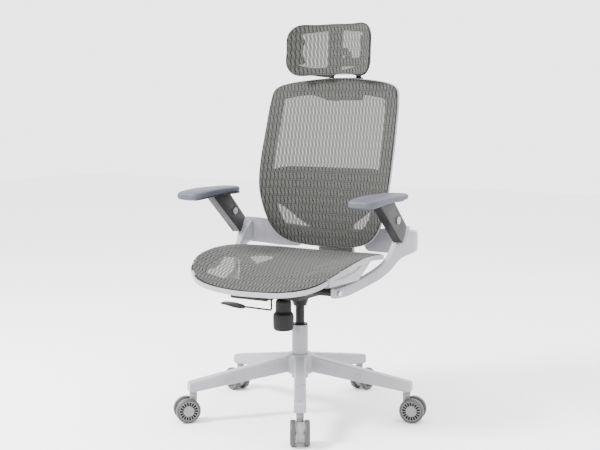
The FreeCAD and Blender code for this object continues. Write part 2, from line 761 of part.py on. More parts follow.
def buildArm(side, name):
    x = side * size("armCentre")
    wall = 4
    shell = [(-69, 679), (24, 681), (112, 598), (100, 572), (83, 549)]
    sleeve = plate("arm_sleeve_" + name, shell, "Sizes.sleeveThick", at=Vector(x, 0, 0))
    cavity = newSketch(sleeve, "YZ_Plane")
    polygon(cavity, [(-18, 660), (24, 668), (60, 705), (150, 700), (150, 520), (80, 528), (30, 608)])
    hollow = sleeve.newObject("PartDesign::Pocket", "hollow_" + name)
    hollow.Profile = cavity
    hollow.Midplane = True
    hollow.Length = size("sleeveThick") - 2 * wall
    bore = newSketch(sleeve, "YZ_Plane")
    spot = circle(bore, size("flipY"), size("flipZ"), 5.05)
    bore.addConstraint(Sketcher.Constraint("DistanceX", -1, 1, spot, 3, size("flipY")))
    bore.addConstraint(Sketcher.Constraint("DistanceY", -1, 1, spot, 3, size("flipZ")))
    drill = sleeve.newObject("PartDesign::Pocket", "pivot_bore_" + name)
    drill.Profile = bore
    drill.Midplane = True
    drill.Length = size("sleeveThick") + 10
    doc.recompute()

    lean = size("padWidth") / 2
    plateRows = [(-168, 672, 26), (-150, 674, 34), (-60, 681.6, 36), (60, 682.5, 30), (68, 683, 24)]
    plateSolid = loftBox([(Vector(x, y, z), Vector(wide, 0, 0), Vector(0, 0, 2.5), 2)
                          for y, z, wide in plateRows])
    shaped("arm_pad_plate_" + name, plateSolid.cut(sleeve.Shape))
    middle = x + side * 8
    pad = loftBox([
        (Vector(middle, -180, 686), Vector(26, 0, 0), Vector(0, 0, 6), 5),
        (Vector(middle, -172, 684), Vector(lean - 9, 0, 0), Vector(0, 0, 11), 8),
        (Vector(middle, -140, 688), Vector(lean, 0, 0), Vector(0, 0, 11), 8),
        (Vector(middle, -70, 693.6), Vector(lean, 0, 0), Vector(0, 0, 9), 7),
        (Vector(middle, 20, 694.5), Vector(lean - 4, 0, 0), Vector(0, 0, 8.5), 7),
        (Vector(middle, 64, 694.5), Vector(lean - 12, 0, 0), Vector(0, 0, 8), 7),
        (Vector(middle, 76, 694.5), Vector(24, 0, 0), Vector(0, 0, 5), 4),
    ])
    shaped("arm_pad_" + name, pad.cut(plateSolid))


def buildArmPins():
    pins = []
    reach = size("sleeveThick") / 2
    for side in (-1, 1):
        x = side * size("armCentre")
        at = Vector(x - reach - 3, size("flipY"), size("flipZ"))
        shank = Part.makeCylinder(5, 2 * reach + 6, at, Vector(1, 0, 0))
        inner = Part.makeCylinder(11.5, 2.7, at, Vector(1, 0, 0))
        outer = Part.makeCylinder(11.5, 2.7, at + Vector(2 * reach + 3.3, 0, 0), Vector(1, 0, 0))
        pins.append(joined(shank, inner, outer))
    shaped("arm_pivot_pins", Part.makeCompound(pins))


def buildSeatBolts():
    bolts = []
    for place in seatBoltPlaces():
        bolts.append(joined(Part.makeCylinder(4, 18, place + Vector(0, 0, 430)),
                            Part.makeCylinder(7, 4, place + Vector(0, 0, 446.3))))
    shaped("seat_bolts", Part.makeCompound(bolts))


# ---- build, check and export ---------------------------------------------------------------------

buildStarBase()
buildGasLift()
buildStems()
for number, stem in enumerate(stemPlaces(), 1):
    buildCaster(number, stem)
buildMechanism()
buildTiltPins()
buildTensionGroup()
buildLevers()
buildSeat()
buildSeatPlate()
buildSeatBolts()
buildCarrier()
buildYoke()
buildBack()
buildBackBolts()
buildHeadrest()
buildHeadrestStem()
buildHeadrestGuide()
for side, name in ((1, "left"), (-1, "right")):
    buildArm(side, name)
buildArmPins()
doc.recompute()

for obj in doc.Objects:
    if "Invalid" in obj.State or "Error" in obj.State:
        raise RuntimeError("%s failed: %s" % (obj.Label, obj.State))

subparts = [obj for obj in doc.Objects if obj.TypeId in ("PartDesign::Body", "Part::Feature")]
for obj in subparts:
    if obj.Shape.isNull() or not obj.Shape.isValid():
        raise RuntimeError("%s has a bad shape" % obj.Label)

for obj in subparts:
    obj.Placement = Placement(Vector(0, 0, -size("datum")), Rotation()) * obj.Placement

os.makedirs("parts", exist_ok=True)
for obj in subparts:
    obj.Shape.exportStep("parts/%s.step" % obj.Label)
print(len(subparts), "parts written")
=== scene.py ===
import bmesh
import bpy
import json
import math
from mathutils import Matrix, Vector

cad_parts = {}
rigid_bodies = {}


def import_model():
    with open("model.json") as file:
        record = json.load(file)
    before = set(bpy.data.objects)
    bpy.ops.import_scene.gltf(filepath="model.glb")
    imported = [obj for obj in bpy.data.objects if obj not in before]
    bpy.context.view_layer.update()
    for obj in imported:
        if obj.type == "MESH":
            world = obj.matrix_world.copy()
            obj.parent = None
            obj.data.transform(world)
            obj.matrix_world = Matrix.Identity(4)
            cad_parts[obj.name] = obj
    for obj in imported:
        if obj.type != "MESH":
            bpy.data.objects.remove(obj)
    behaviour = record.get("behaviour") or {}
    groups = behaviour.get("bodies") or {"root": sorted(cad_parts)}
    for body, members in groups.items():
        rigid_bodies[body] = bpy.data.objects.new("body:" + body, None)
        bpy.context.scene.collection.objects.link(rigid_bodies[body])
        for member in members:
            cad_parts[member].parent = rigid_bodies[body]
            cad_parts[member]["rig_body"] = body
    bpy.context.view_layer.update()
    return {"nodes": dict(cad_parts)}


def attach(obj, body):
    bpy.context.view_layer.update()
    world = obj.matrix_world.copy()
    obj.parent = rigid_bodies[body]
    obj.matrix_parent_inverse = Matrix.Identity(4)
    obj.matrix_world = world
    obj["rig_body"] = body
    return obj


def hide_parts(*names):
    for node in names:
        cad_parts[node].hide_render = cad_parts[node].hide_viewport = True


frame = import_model()
print("frame loaded")

datum = 7  # mm, heights below are drawn from this far under the floor


def place(x, y, z):
    return Vector((x, y, z - datum)) / 1000


# camera, floor and lights
view = {"distance": 3.463, "height": 0.9545, "turn": 31.5, "down": 6.044, "lens": 67.86}
turn = math.radians(view["turn"])
cameraData = bpy.data.cameras.new("camera")
cameraData.lens = view["lens"]
cameraData.sensor_width = 36
camera = bpy.data.objects.new("camera", cameraData)
camera.location = (math.sin(turn) * view["distance"], -math.cos(turn) * view["distance"],
                   view["height"])
camera.rotation_euler = (math.radians(90 - view["down"]), 0, turn)
bpy.context.scene.collection.objects.link(camera)
bpy.context.scene.camera = camera

studio = {
    "key": {"at": (-1.9, -2.2, 3.0), "size": 0.9, "power": 420},
    "fill": {"at": (3.0, -1.0, 1.6), "size": 2.4, "power": 18},
    "back": {"at": (0.9, 2.6, 2.6), "size": 2.0, "power": 50},
    "sky": 3.4,
}
for name in ("key", "fill", "back"):
    lamp = bpy.data.lights.new(name, "AREA")
    lamp.size = studio[name]["size"]
    lamp.energy = studio[name]["power"]
    lampObject = bpy.data.objects.new(name, lamp)
    lampObject.location = studio[name]["at"]
    aim = Vector((0, 0, 0.55)) - lampObject.location
    lampObject.rotation_euler = aim.to_track_quat("-Z", "Y").to_euler()
    bpy.context.scene.collection.objects.link(lampObject)
world = bpy.data.worlds.new("studio")
world.use_nodes = True
world.node_tree.nodes["Background"].inputs["Color"].default_value = (1, 1, 1, 1)
world.node_tree.nodes["Background"].inputs["Strength"].default_value = studio["sky"]
bpy.context.scene.world = world
print("camera and lights ready")


def linear(code):  # sRGB hex to linear RGBA
    parts = [int(code[i:i + 2], 16) / 255 for i in (0, 2, 4)]
    return tuple(c / 12.92 if c <= 0.04045 else ((c + 0.055) / 1.055) ** 2.4 for c in parts) + (1,)


def add(material, kind, settings, inputs):  # one node, its settings and what goes into its sockets
    tree = material.node_tree
    node = tree.nodes.new("ShaderNode" + kind)
    for key, value in settings.items():
        setattr(node, key, value)
    for key, value in inputs.items():
        if isinstance(value, bpy.types.NodeSocket):
            tree.links.new(value, node.inputs[key])
        else:
            node.inputs[key].default_value = value
    return node


def startMaterial(name):
    material = bpy.data.materials.new(name)
    material.use_nodes = True
    material.node_tree.nodes.clear()
    return material


def finishMaterial(material, shader):
    add(material, "OutputMaterial", {}, {"Surface": shader.outputs[0]})
    return material


def moulded(name, dark, light, roughness, grain, depth, ior=1.5, metallic=0.0):
    # injection-moulded or coated surface: a fine grain breaks the highlight, and slow
    # patches of tone and polish keep large faces from looking flat. grain is in mm
    material = startMaterial(name)
    where = add(material, "TexCoord", {}, {}).outputs["Object"]
    fine = add(material, "TexNoise", {}, {"Vector": where, "Scale": 1000 / grain, "Detail": 3.0})
    slow = add(material, "TexNoise", {}, {"Vector": where, "Scale": 14.0, "Detail": 4.0})
    worn = add(material, "NewGeometry", {}, {}).outputs["Pointiness"]
    edge = add(material, "MapRange", {}, {"Value": worn, 1: 0.5, 2: 0.56, 3: 0.0, 4: 0.35})
    tone = add(material, "Mix", {"data_type": "RGBA"}, {
        0: slow.outputs["Fac"], 6: linear(dark), 7: linear(light)})
    rubbed = add(material, "Mix", {"data_type": "RGBA"}, {
        0: edge.outputs[0], 6: tone.outputs[2], 7: linear(light)})
    polish = add(material, "MapRange", {}, {
        "Value": slow.outputs["Fac"], 1: 0.3, 2: 0.7, 3: roughness - 0.05, 4: roughness + 0.07})
    bump = add(material, "Bump", {}, {
        "Height": fine.outputs["Fac"], "Distance": depth / 1000, "Strength": 0.5})
    shader = add(material, "BsdfPrincipled", {}, {
        "Base Color": rubbed.outputs[2], "Roughness": polish.outputs[0], "Normal": bump.outputs[0],
        "IOR": ior, "Metallic": metallic})
    return finishMaterial(material, shader)


# glass-filled nylon: cool off-white with a soft satin sheen, held grey enough to shade under the
# bright studio. Grain drawn at 1.2 mm so that it shows
whiteNylon = moulded("whiteMouldedNylon", "76767b", "88888d", 0.3, 1.2, 0.06, 1.53)
# powder-coated steel tube: smoother than nylon, faint orange peel about 2 mm wide
whiteSteel = moulded("whitePowderCoatedSteel", "747478", "848488", 0.28, 2.2, 0.05)
# black nylon: near black, a broad dull highlight and a visible grain
blackNylon = moulded("blackMouldedNylon", "070708", "101011", 0.5, 1.0, 0.10, 1.3)
# black powder coat: near black and a little tighter in its highlight than the nylon
blackSteel = moulded("blackPowderCoatedSteel", "050506", "0d0d0e", 0.45, 1.8, 0.06, 1.3)
# grey and charcoal nylon: satin, so edges catch a soft line of light
greyNylon = moulded("greyMouldedNylon", "3a3a37", "484844", 0.42, 1.2, 0.06, 1.53)
charcoalNylon = moulded("charcoalMouldedNylon", "101012", "1c1c1e", 0.48, 1.0, 0.08, 1.4)
# the same charcoal nylon behind the mesh with the mesh's shade painted into its colour: darker, so that the
# yarn stands out from it
meshShadePaintedNylon = moulded("charcoalNylonWithPaintedShade", "060607", "0c0c0d", 0.6, 1.0, 0.08, 1.3)
# caster nylon: mid grey and slightly polished by handling
casterNylon = moulded("casterMouldedNylon", "626262", "747474", 0.4, 1.2, 0.05, 1.53)
# cast urethane: dull grey rubbery tread. Zinc plate: pale grey metal with a soft gleam
treadUrethane = moulded("castUrethaneTread", "2c2c2c", "3a3a3a", 0.5, 1.4, 0.08)
zincSteel = moulded("zincPlatedSteel", "a8a9ab", "c4c5c8", 0.34, 1.0, 0.03, 1.5, 1.0)
# integral-skin foam: leather-like pebble about 2.5 mm wide, soft broad highlight
skinFoam = moulded("integralSkinFoam", "33363e", "41444d", 0.56, 2.5, 0.22, 1.4)


def knittedMesh(name, axes):
    # knitted polyester and elastomer net: charcoal yarn, and open wavy columns that let light through.
    # Columns stand 12.5 mm apart and wave every 26 mm. The fine wales are 6.25 mm, several times
    # coarser than real ones, so that they show
    cloth = {"columns": 12.5, "wave": 26.0, "sway": 0.12, "wale": 6.25, "waleShare": 0.28,
             "courseShare": 0.12, "strandShare": 0.45, "leafShare": 0.3}
    full = 2 * math.pi * 1000  # radians in a metre, for a wave 1 mm long
    material = startMaterial(name)
    where = add(material, "TexCoord", {}, {}).outputs["Object"]
    split = add(material, "SeparateXYZ", {}, {0: where})
    found = {"across": split.outputs[axes[0]], "along": split.outputs[axes[1]]}
    for result, operation, first, second in (
            ("waves", "MULTIPLY", "along", full / cloth["wave"]),
            ("swing", "SINE", "waves", 0.0),
            ("turns", "MULTIPLY", "across", full / cloth["columns"]),
            ("shift", "MULTIPLY", "swing", cloth["sway"] * 2 * math.pi),
            ("column", "ADD", "turns", "shift"),
            ("strand", "COSINE", "column", 0.0),
            ("beat", "COSINE", "waves", 0.0),
            ("leaf", "MULTIPLY", "strand", "beat"),
            ("waleTurns", "MULTIPLY", "column", cloth["columns"] / cloth["wale"]),
            ("wale", "COSINE", "waleTurns", 0.0),
            ("courseTurns", "MULTIPLY", "along", full / cloth["wale"]),
            ("course", "COSINE", "courseTurns", 0.0),
            ("walePart", "MULTIPLY", "wale", cloth["waleShare"]),
            ("coursePart", "MULTIPLY", "course", cloth["courseShare"]),
            ("fine", "ADD", "walePart", "coursePart"),
            ("strandPart", "MULTIPLY", "strand", cloth["strandShare"]),
            ("leafPart", "MULTIPLY", "leaf", cloth["leafShare"]),
            ("coarse", "ADD", "strandPart", "leafPart"),
            ("openness", "ADD", "coarse", "fine")):
        node = add(material, "Math", {"operation": operation}, {
            0: found[first], 1: found.get(second, second)})
        found[result] = node.outputs[0]
    cover = add(material, "MapRange", {}, {"Value": found["openness"], 1: -0.35, 2: 0.75, 3: 0.99, 4: 0.72})
    yarn = add(material, "MapRange", {}, {"Value": found["openness"], 1: 0.3, 2: -0.5, 3: 0.0, 4: 1.0})
    tone = add(material, "Mix", {"data_type": "RGBA"}, {
        0: yarn.outputs[0], 6: linear("10100f"), 7: linear("343431")})
    bump = add(material, "Bump", {}, {"Height": found["fine"], "Distance": 0.0006, "Strength": 0.8})
    shader = add(material, "BsdfPrincipled", {}, {
        "Base Color": tone.outputs[2], "Alpha": cover.outputs[0], "Normal": bump.outputs[0],
        "Roughness": 0.75, "Sheen Weight": 0.1, "IOR": 1.4})
    return finishMaterial(material, shader)


meshUpright = knittedMesh("knittedMeshUpright", ("X", "Z"))
meshLevel = knittedMesh("knittedMeshLevel", ("X", "Y"))
print("materials ready")

floorReach = 9  # m each way
floorMesh = bpy.data.meshes.new("floor")
floorMesh.from_pydata([(x * floorReach, y * floorReach, 0) for x, y in ((-1, -1), (1, -1), (1, 1), (-1, 1))],
                      [], [(0, 1, 2, 3)])
floor = bpy.data.objects.new("floor", floorMesh)
floorMesh.materials.append(moulded("palePaintedFloor", "f0f0f0", "f5f5f5", 0.7, 4.0, 0.02))
bpy.context.scene.collection.objects.link(floor)


upright = (0, 0, 1)


# curves and surfaces, all in mm; *Stations are (z or y, middle, bend or edge)
def through(points, count, closed=False):  # smooth curve through points, evenly divided
    total = len(points)
    dense = []
    for i in range(total if closed else total - 1):
        near = [points[(i + k) % total] if closed else points[min(max(i + k, 0), total - 1)]
                for k in (-1, 0, 1, 2)]
        for step in range(16):
            u = step / 16
            dense.append(tuple(0.5 * (2 * b + (c - a) * u + (2 * a - 5 * b + 4 * c - d) * u * u
                                      + (3 * b - a - 3 * c + d) * u ** 3) for a, b, c, d in zip(*near)))
    dense.append(tuple(points[0] if closed else points[-1]))
    reach = [0.0]
    for before, after in zip(dense, dense[1:]):
        reach.append(reach[-1] + math.dist(before, after))
    parts = count if closed else count - 1
    found = []
    k = 0
    for i in range(count):
        goal = reach[-1] * i / parts
        while k < len(reach) - 2 and reach[k + 1] < goal:
            k += 1
        share = (goal - reach[k]) / max(reach[k + 1] - reach[k], 1e-9)
        found.append(tuple(p + (q - p) * share for p, q in zip(dense[k], dense[k + 1])))
    return found


def along(stations, at):  # value between stations, by a cubic through its neighbours
    for i in range(len(stations) - 1):
        if at <= stations[i + 1][0] or i == len(stations) - 2:
            break
    a, b = stations[i], stations[i + 1]
    before = stations[max(i - 1, 0)]
    after = stations[min(i + 2, len(stations) - 1)]
    width = b[0] - a[0]
    u = min(max((at - a[0]) / width, -0.2), 1.2)
    values = []
    for k in range(1, len(a)):
        slopeA = (b[k] - before[k]) / (b[0] - before[0]) * width
        slopeB = (after[k] - a[k]) / (after[0] - a[0]) * width
        values.append((2 * u ** 3 - 3 * u * u + 1) * a[k] + (u ** 3 - 2 * u * u + u) * slopeA
                      + (3 * u * u - 2 * u ** 3) * b[k] + (u ** 3 - u * u) * slopeB)
    return values


def arcRise(x, reach, rise):  # height of a circle's arc over its middle
    if abs(rise) < 1e-6:
        return 0.0
    radius = (reach * reach + rise * rise) / (2 * abs(rise))
    return math.copysign(radius - math.sqrt(max(radius * radius - x * x, 0)), rise)


backStations = [(480, 160, .00042), (560, 158, .00060), (620, 161, .00072), (700, 170, .00080),
                (780, 182, .00072), (860, 196, .00058), (940, 209, .00044), (1010, 220, .00032),
                (1075, 229, .00025)]
seatStations = [(-320, 424, 430), (-285, 440, 453), (-250, 453, 476), (-205, 468, 500), (-150, 480, 515),
                (-90, 488, 524), (-20, 492, 527), (50, 494, 523), (110, 498, 515), (170, 506, 511)]
headStations = [(1040, -4), (1100, -1), (1160, 3), (1230, 6)]
reachOf = {"back": 275, "seat": 282, "head": 160, "headRise": 51.2, "headDepth": 207}


def backAt(x, z, depth):
    middle, bend = along(backStations, z)
    return place(x, middle - arcRise(x, reachOf["back"], bend * reachOf["back"] ** 2) + depth, z)


def seatAt(x, y, drop):
    middle, edge = along(seatStations, y)
    return place(x, y, middle + arcRise(x, reachOf["seat"], edge - middle) - drop)


def headAt(x, z, depth):
    lean, = along(headStations, z)
    return place(x, reachOf["headDepth"] + lean - arcRise(x, reachOf["head"], reachOf["headRise"]) + depth, z)


def wholeOutline(half, count):
    return through(half + [(-x, other) for x, other in reversed(half[1:-1])], count, True)


def inwards(points, reach):  # each point moved in by reach(x, other)
    count = len(points)
    moved = []
    for i, (x, other) in enumerate(points):
        a, b = points[i - 1], points[(i + 1) % count]
        run = (b[0] - a[0], b[1] - a[1])
        size = math.hypot(*run)
        moved.append((x - run[1] / size * reach(x, other), other + run[0] / size * reach(x, other)))
    return moved


# pieces
def newPiece(name, mesh, body, material, nodes, others=()):
    if mesh.materials:
        mesh.materials.clear()
    for finish in [material, *others]:
        mesh.materials.append(finish)
    piece = bpy.data.objects.new(name, mesh)
    bpy.context.scene.collection.objects.link(piece)
    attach(piece, body)
    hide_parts(*nodes)
    return piece


def smoothShade(mesh, angle=38):
    mesh.polygons.foreach_set("use_smooth", [True] * len(mesh.polygons))
    mesh.set_sharp_from_angle(angle=math.radians(angle))


def meshOf(name, build, angle=38):
    work = bmesh.new()
    build(work)
    bmesh.ops.remove_doubles(work, verts=work.verts, dist=1e-6)
    bmesh.ops.recalc_face_normals(work, faces=work.faces)
    mesh = bpy.data.meshes.new(name)
    work.to_mesh(mesh)
    work.free()
    smoothShade(mesh, angle)
    return mesh


def skin(work, rows, closedRows=False, caps=False):  # faces between rows of points, each row a closed ring
    rings = [[work.verts.new(point) for point in row] for row in rows]
    pairs = list(zip(rings, rings[1:])) + ([(rings[-1], rings[0])] if closedRows else [])
    for lower, upper in pairs:
        for i in range(len(lower)):
            j = (i + 1) % len(lower)
            work.faces.new((lower[i], lower[j], upper[j], upper[i]))
    if caps:
        work.faces.new(rings[0])
        work.faces.new(list(reversed(rings[-1])))


def roundSection(width, near, far, radius):  # closed section of (sideways, depth) with rounded corners
    radius = min(radius, (far - near) * 0.48, width * 0.48)
    section = []
    corners = ((radius, near + radius, 180), (width - radius, near + radius, 270),
               (width - radius, far - radius, 0), (radius, far - radius, 90))
    for s, d, start in corners:
        for step in range(5):
            angle = math.radians(start + 90 * step / 4)
            section.append((s + radius * math.cos(angle), d + radius * math.sin(angle)))
    return section


def ring(work, outline, width, surface, near, far, radius):
    inner = inwards(outline, width)
    rows = []
    for (x, other), (u, v) in zip(outline, inner):
        size = math.dist((x, other), (u, v))
        rows.append([surface(x + (u - x) * s / size, other + (v - other) * s / size, d)
                     for s, d in roundSection(size, near, far, radius)])
    skin(work, rows, True)


def halfWidths(outline, rows):  # (height, half width) down an outline, finer towards both ends
    low = min(p[1] for p in outline)
    high = max(p[1] for p in outline)
    found = []
    for i in range(rows):
        level = low + (high - low) * (0.5 - 0.4999 * math.cos(math.pi * i / (rows - 1)))
        reach = 0.5
        for a, b in zip(outline, outline[1:] + outline[:1]):
            if (a[1] - level) * (b[1] - level) <= 0 and a[1] != b[1]:
                reach = max(reach, abs(a[0] + (b[0] - a[0]) * (level - a[1]) / (b[1] - a[1])))
        found.append((level, reach))
    return found


def grid(work, outline, surface, depth, rows=72, columns=60):  # one layer of cloth inside an outline
    lines = []
    for level, reach in halfWidths(outline, rows):
        lines.append([work.verts.new(surface(reach * (2 * i / columns - 1), level, depth))
                      for i in range(columns + 1)])
    for a, b in zip(lines, lines[1:]):
        for i in range(columns):
            work.faces.new((a[i], a[i + 1], b[i + 1], b[i]))


def rounded(profile, radius, steps=4):  # open profile whose inner corners become arcs
    found = [profile[0]]
    for a, b, c in zip(profile, profile[1:], profile[2:]):
        a, b, c = Vector(a), Vector(b), Vector(c)
        cut = min(radius, (a - b).length * 0.45, (c - b).length * 0.45)
        start = b + (a - b).normalized() * cut
        end = b + (c - b).normalized() * cut
        for step in range(steps + 1):
            u = step / steps
            found.append(tuple(start * (1 - u) ** 2 + b * 2 * u * (1 - u) + end * u * u))
    return found + [profile[-1]]


def lathe(work, profile, origin, axis, segments=72, ribs=None):  # (radius, height) in mm about an axis
    turning = Vector((0, 0, 1)).rotation_difference(Vector(axis)).to_matrix()
    rows = []
    for radius, height in profile:
        row = []
        for i in range(segments):
            angle = 2 * math.pi * i / segments
            reach = radius + (ribs(radius, height, i) if ribs else 0)
            local = Vector((reach * math.cos(angle), reach * math.sin(angle), height)) / 1000
            row.append(origin + turning @ local)
        rows.append(row)
    skin(work, rows, False, True)


def superRing(centre, across, up, power, count=40):  # rounded rectangle as a superellipse
    points = []
    for i in range(count):
        angle = 2 * math.pi * (i + 0.5) / count
        c, s = math.cos(angle), math.sin(angle)
        points.append(centre + across * math.copysign(abs(c) ** (2 / power), c)
                      + up * math.copysign(abs(s) ** (2 / power), s))
    return points


def loft(work, stations, power, steps=6, count=40):  # stations of (x, y, z, half across, half up)
    dense = through(stations, (len(stations) - 1) * steps + 1)
    rows = [superRing(place(x, y, z), Vector((a / 1000, 0, 0)), Vector((0, 0, b / 1000)), power, count)
            for x, y, z, a, b in dense]
    crown, endPower = 0.6, 2.4  # a smaller and rounder ring closes each end
    ends = [superRing(place(x, y, z), Vector((a * crown / 1000, 0, 0)), Vector((0, 0, b * crown / 1000)),
                      endPower, count) for x, y, z, a, b in (dense[0], dense[-1])]
    skin(work, [ends[0], *rows, ends[1]], False, True)


def softened(node, name, material, width, segments=3):  # CAD solid with its edges rounded
    mesh = frame["nodes"][node].data.copy()
    work = bmesh.new()
    work.from_mesh(mesh)
    bmesh.ops.remove_doubles(work, verts=work.verts, dist=2e-6)
    bmesh.ops.dissolve_limit(work, angle_limit=math.radians(1.5), verts=work.verts, edges=work.edges)
    sharpAngle = 32
    sharp = [e for e in work.edges
             if len(e.link_faces) == 2 and e.calc_face_angle(0) > math.radians(sharpAngle)]
    bmesh.ops.bevel(work, geom=sharp, offset=width / 1000, segments=segments, profile=0.5, affect="EDGES",
                    clamp_overlap=True, offset_type="OFFSET")
    bmesh.ops.recalc_face_normals(work, faces=work.faces)
    work.to_mesh(mesh)
    work.free()
    smoothShade(mesh, sharpAngle)
    return newPiece(name, mesh, frame["nodes"][node]["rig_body"], material, [node])


def fused(mesh, pitch, smoothing):  # overlapping closed forms become one moulded skin with small fillets
    holder = bpy.data.objects.new("holder", mesh)
    bpy.context.scene.collection.objects.link(holder)
    weld = holder.modifiers.new("weld", "REMESH")
    weld.mode = "VOXEL"
    weld.voxel_size = pitch / 1000
    ease = holder.modifiers.new("ease", "SMOOTH")
    ease.iterations = smoothing
    ease.factor = 0.5
    done = bpy.data.meshes.new_from_object(holder.evaluated_get(bpy.context.evaluated_depsgraph_get()))
    bpy.data.objects.remove(holder)
    smoothShade(done, 60)
    return done


# star base: tapering legs into one hub, with a foot under each end for its caster
starBase = {"legs": 5, "bearing": -58.5, "halfWidth": 18, "squareness": 9.0, "circle": 340, "pitch": 1.8,
            "cuts": (20, 38, 90, 140, 190, 240, 290, 340, 343, 349, 352, 354.4, 355),
            "top": [(20, 194.5), (38, 191), (343, 131), (352, 129), (354.4, 127), (355, 124)],
            "under": [(20, 142.5), (38, 140), (340, 99), (355, 99.5)],
            "foot": [(0, 94), (11, 94), (12, 95), (12, 116), (0, 116)],
            "hub": [(24.9, 132), (38, 132), (45, 142), (45, 186), (38, 196), (24.9, 196)], "hubRound": 4,
            "hubCore": (132.5, 195.5)}
legTurn = 360 / starBase["legs"]


def straight(points, at):  # height of a line of straight runs
    for (a, low), (b, high) in zip(points, points[1:]):
        if at <= b:
            return low + (high - low) * (at - a) / (b - a)
    return points[-1][1]


def buildStarBase(work):
    for k in range(starBase["legs"]):
        angle = math.radians(starBase["bearing"] + legTurn * k)
        out = Vector((math.cos(angle), math.sin(angle), 0))
        side = Vector((-out.y, out.x, 0))
        rows = []
        for radius in starBase["cuts"]:
            high = straight(starBase["top"], radius)
            low = straight(starBase["under"], radius)
            rows.append(superRing(out * radius / 1000 + place(0, 0, (high + low) / 2),
                                  side * starBase["halfWidth"] / 1000,
                                  Vector((0, 0, (high - low) / 2000)), starBase["squareness"], 64))
        skin(work, rows, False, True)
        lathe(work, starBase["foot"], out * starBase["circle"] / 1000 + place(0, 0, 0), upright, 40)
    low, high = starBase["hubCore"]
    hub = rounded(starBase["hub"], starBase["hubRound"])[1:-1]
    lathe(work, [(0, low), *hub, (0, high)], place(0, 0, 0), upright, 72)


newPiece("starBaseMoulding", fused(meshOf("starBase", buildStarBase), starBase["pitch"], 2), "base",
         whiteNylon, ["star_base"])
print("star base ready")

# gas column with its black collar, and the tube that slides in it
gasLift = {"column": [(24, 118), (25, 119), (25, 284), (24.4, 285), (23, 285)],
           "collar": [(14.1, 284), (24.5, 285), (24.5, 287.4), (23, 289), (14.4, 289), (14.1, 288)],
           "tube": [(12.5, 190), (14, 191), (14, 404), (12.5, 404)]}
for name, part, body, finish, slot, node in (
        ("gasColumn", "column", "base", whiteSteel, "white_steel", "outer_gas_tube"),
        ("columnCollar", "collar", "base", blackNylon, "black_plastic", "guide_bushing"),
        ("gasTube", "tube", "lift", blackSteel, "black_steel", "pressure_tube")):
    mesh = meshOf(name, lambda w: lathe(w, gasLift[part], place(0, 0, 0), upright))
    newPiece(name, mesh, body, finish, [node])
print("gas lift ready")

# casters: slotted wheels either side of a hooded fork
caster = {"radius": 37.5, "gap": 23, "trail": 20, "slots": 18, "slotDepth": 5, "slotFrom": 28,
          "profile": [(5, 0), (33, 0), (36, 1), (37.5, 4), (37.5, 12), (36.4, 15), (34, 16.8), (30.5, 16.6),
                      (29.4, 15.4), (28, 15.4), (16.5, 15.4), (15.2, 15.8), (14.5, 17), (13, 17), (3, 17)],
          "faceFrom": 9.5, "faceReach": 29.2, "capReach": 15.6, "slotBelow": 15.2}


def buildWheel(work, centre, outward):
    segments = caster["slots"] * 4  # three of each four are slot, the fourth is a spoke
    turning = Vector((0, 0, 1)).rotation_difference(outward).to_matrix()
    rings = []
    for radius, height in caster["profile"]:
        rings.append([work.verts.new(centre + turning @ (Vector((
            radius * math.cos(2 * math.pi * i / segments), radius * math.sin(2 * math.pi * i / segments),
            height)) / 1000)) for i in range(segments)])
    slotRow = [radius for radius, height in caster["profile"]].index(caster["slotFrom"])
    slotFaces = []
    for row, (a, b) in enumerate(zip(rings, rings[1:])):
        for i in range(segments):
            j = (i + 1) % segments
            face = work.faces.new((a[i], a[j], b[j], b[i]))
            if row == slotRow and i % 4 != 3:
                slotFaces.append(face)
    work.faces.new(rings[0])
    work.faces.new(list(reversed(rings[-1])))
    bmesh.ops.recalc_face_normals(work, faces=work.faces)
    pushed = bmesh.ops.extrude_face_region(work, geom=slotFaces)
    moved = [v for v in pushed["geom"] if isinstance(v, bmesh.types.BMVert)]
    bmesh.ops.translate(work, verts=moved, vec=-outward * caster["slotDepth"] / 1000)
    bmesh.ops.delete(work, geom=slotFaces, context="FACES")
    for face in work.faces:
        middle = face.calc_center_median() - centre
        rise = middle.dot(outward) * 1000
        radius = (middle - outward * middle.dot(outward)).length * 1000
        if rise > caster["faceFrom"] and radius < caster["faceReach"]:
            inSlot = radius > caster["capReach"] and rise < caster["slotBelow"]
            face.material_index = 2 if inSlot else 1


for k in range(1, starBase["legs"] + 1):
    bearing = math.radians(starBase["bearing"] + legTurn * (k - 1))
    out = Vector((math.cos(bearing), math.sin(bearing), 0))
    sideways = Vector((-out.y, out.x, 0))
    hub = out * (starBase["circle"] + caster["trail"]) / 1000 + Vector((0, 0, caster["radius"] / 1000))
    for sign, name in ((1, "left"), (-1, "right")):
        start = hub + sideways * sign * caster["gap"] / 2000
        newPiece("wheel%d%s" % (k, name.capitalize()),
                 meshOf("wheel", lambda w: buildWheel(w, start, sideways * sign), 40),
                 "caster_wheel_body_%d_%s" % (k, name), treadUrethane,
                 ["caster_wheel_%d_%s" % (k, name)], [casterNylon, blackNylon])
    softened("caster_housing_%d" % k, "casterHood%d" % k, casterNylon, 0.5, 2)
print("casters ready")

# mechanism, its tension knob and two levers
softened("mechanism_housing", "mechanismCase", blackSteel, 2.0)
knob = {"at": -96, "ribs": 30, "depth": 0.9, "ribReach": 23, "ribFrom": 288, "ribTo": 372, "round": 2,
        "profile": [(6, 286), (18, 282), (27, 283.5), (30, 288), (31, 294), (32, 322), (31, 332), (27, 337),
                    (24, 341), (24, 370), (21, 376.5), (6, 377)]}


def knobRibs(radius, height, i):  # two of each four divisions are sunk between ribs
    ribbed = radius > knob["ribReach"] and knob["ribFrom"] < height < knob["ribTo"]
    return -knob["depth"] if ribbed and i % 4 < 2 else 0


